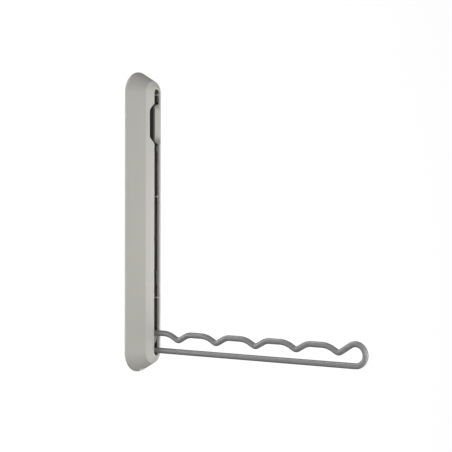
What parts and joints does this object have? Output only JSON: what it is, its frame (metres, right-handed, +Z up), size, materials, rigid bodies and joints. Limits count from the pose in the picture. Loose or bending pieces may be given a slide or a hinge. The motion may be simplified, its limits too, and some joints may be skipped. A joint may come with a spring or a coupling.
{
  "type": "wall mounted fold down drying rack",
  "caption": "Slim faceted wall housing with a long slot, and a bent wire arm with hanger notches that folds down to stand straight out.",
  "frame": {"origin": "middle of the housing's back, on the wall, half way between the two wall screws", "axes": "+X to the right along the wall, +Y into the wall, +Z up; the arm is stored folded down and points along -Y"},
  "size_m": [0.047, 0.2828, 0.324],
  "materials": {
    "pebble_abs": "fine textured",
    "plate_steel": "zinc plated, satin",
    "charcoal_plastic": "matt moulded",
    "screw_steel": "zinc plated",
    "pin_steel": "ground",
    "spring_steel": "blued",
    "friction_fibre": "pressed fibre",
    "nylon": "moulded",
    "wire_coat": "satin powder coat",
    "knuckle_coat": "satin powder coat",
    "bush_acetal": "turned"
  },
  "bodies": {
    "housing": {"front_shell": "pebble_abs", "wall_plate": "plate_steel", "grip_liner": "charcoal_plastic", "liner_screws": "screw_steel", "arm_clip": "charcoal_plastic", "clip_screws": "screw_steel", "bracket_left": "plate_steel", "bracket_right": "plate_steel", "bracket_screws": "screw_steel", "pivot_pin": "pin_steel", "circlip": "spring_steel", "friction_disc": "friction_fibre", "wave_washer": "spring_steel", "stop_pin": "pin_steel", "stop_sleeve": "nylon", "lock_screw": "screw_steel"},
    "arm": {"arm_wire": "wire_coat", "hinge_knuckle": "knuckle_coat", "wire_pins": "pin_steel", "bush_left": "bush_acetal", "bush_right": "bush_acetal"}
  },
  "joints": [
    {"name": "arm_fold", "type": "hinge", "parent": "housing", "child": "arm", "pos_m": [0, -0.0151, -0.1272], "axis": [-1, 0, 0], "range_deg": [0, 90]}
  ]
}
